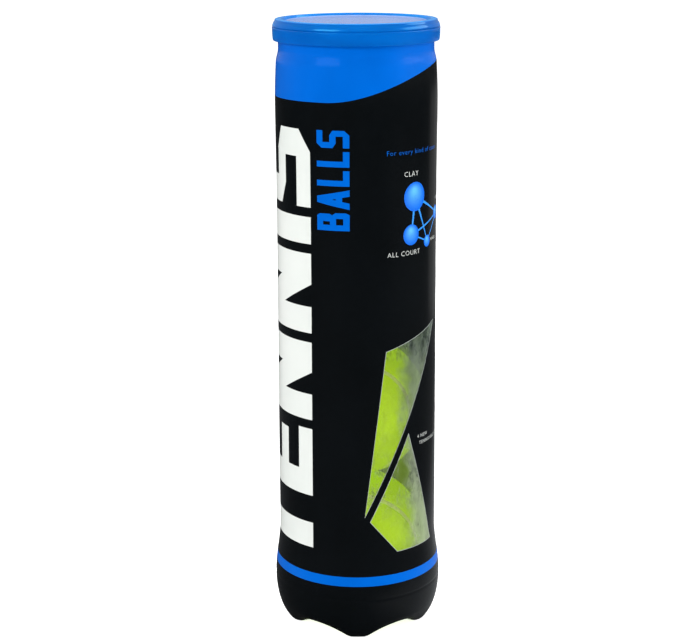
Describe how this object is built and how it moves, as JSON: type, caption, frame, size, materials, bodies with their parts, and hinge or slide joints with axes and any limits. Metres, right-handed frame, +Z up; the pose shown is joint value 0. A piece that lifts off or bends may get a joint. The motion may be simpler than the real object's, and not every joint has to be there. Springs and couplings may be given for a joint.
{
  "type": "tennis ball can",
  "caption": "Tall clear sealed can of stacked felt-covered tennis balls with a printed sleeve, easy-open metal end, ring-pull tab and press-fit lid.",
  "frame": {"origin": "on the ground under the can's vertical axis, at the centre of the five feet", "axes": "+Z up along the can; one foot of the base points along -Y, the side the picture shows"},
  "size_m": [0.0792, 0.0792, 0.287],
  "materials": {
    "clear_pet": "gloss",
    "printed_film": "satin",
    "aluminium": "satin",
    "compound": "matte",
    "lid_plastic": "gloss",
    "felt": "matte",
    "seam_cement": "matte",
    "core_rubber": "matte"
  },
  "bodies": {
    "can": {"pet_bottle": "clear_pet", "shrink_sleeve": "printed_film", "end_seam_ring": "aluminium", "sealing_compound": "compound"},
    "ball_1": {"ball_1_felt_a": "felt", "ball_1_felt_b": "felt", "ball_1_seam": "seam_cement", "ball_1_core_a": "core_rubber", "ball_1_core_b": "core_rubber"},
    "ball_2": {"ball_2_felt_a": "felt", "ball_2_felt_b": "felt", "ball_2_seam": "seam_cement", "ball_2_core_a": "core_rubber", "ball_2_core_b": "core_rubber"},
    "ball_3": {"ball_3_felt_a": "felt", "ball_3_felt_b": "felt", "ball_3_seam": "seam_cement", "ball_3_core_a": "core_rubber", "ball_3_core_b": "core_rubber"},
    "ball_4": {"ball_4_felt_a": "felt", "ball_4_felt_b": "felt", "ball_4_seam": "seam_cement", "ball_4_core_a": "core_rubber", "ball_4_core_b": "core_rubber"},
    "end_panel": {"end_panel": "aluminium", "tab_rivet": "aluminium", "tab_tongue": "aluminium"},
    "pull_tab": {"pull_tab": "aluminium"},
    "snap_lid": {"snap_lid": "lid_plastic"}
  },
  "joints": [
    {"name": "ball_1_lift", "type": "slide", "parent": "can", "child": "ball_1", "axis": [0, 0, 1], "range_m": [0, 0.29]},
    {"name": "ball_2_lift", "type": "slide", "parent": "ball_1", "child": "ball_2", "axis": [0, 0, 1], "range_m": [0, 0.22]},
    {"name": "ball_3_lift", "type": "slide", "parent": "ball_2", "child": "ball_3", "axis": [0, 0, 1], "range_m": [0, 0.155]},
    {"name": "ball_4_lift", "type": "slide", "parent": "ball_3", "child": "ball_4", "axis": [0, 0, 1], "range_m": [0, 0.09]},
    {"name": "end_panel_lift", "type": "slide", "parent": "ball_4", "child": "end_panel", "axis": [0, 0, 1], "range_m": [0, 0.05]},
    {"name": "snap_lid_lift", "type": "slide", "parent": "end_panel", "child": "snap_lid", "axis": [0, 0, 1], "range_m": [0, 0.06]},
    {"name": "pull_tab_hinge", "type": "hinge", "parent": "end_panel", "child": "pull_tab", "pos_m": [0, 0.0283, 0.282], "axis": [-1, 0, 0], "range_deg": [0, 90]}
  ],
  "couplings": [
    {"joint": "pull_tab_hinge", "follows": "snap_lid_lift", "rad_per_m": 26.18}
  ]
}
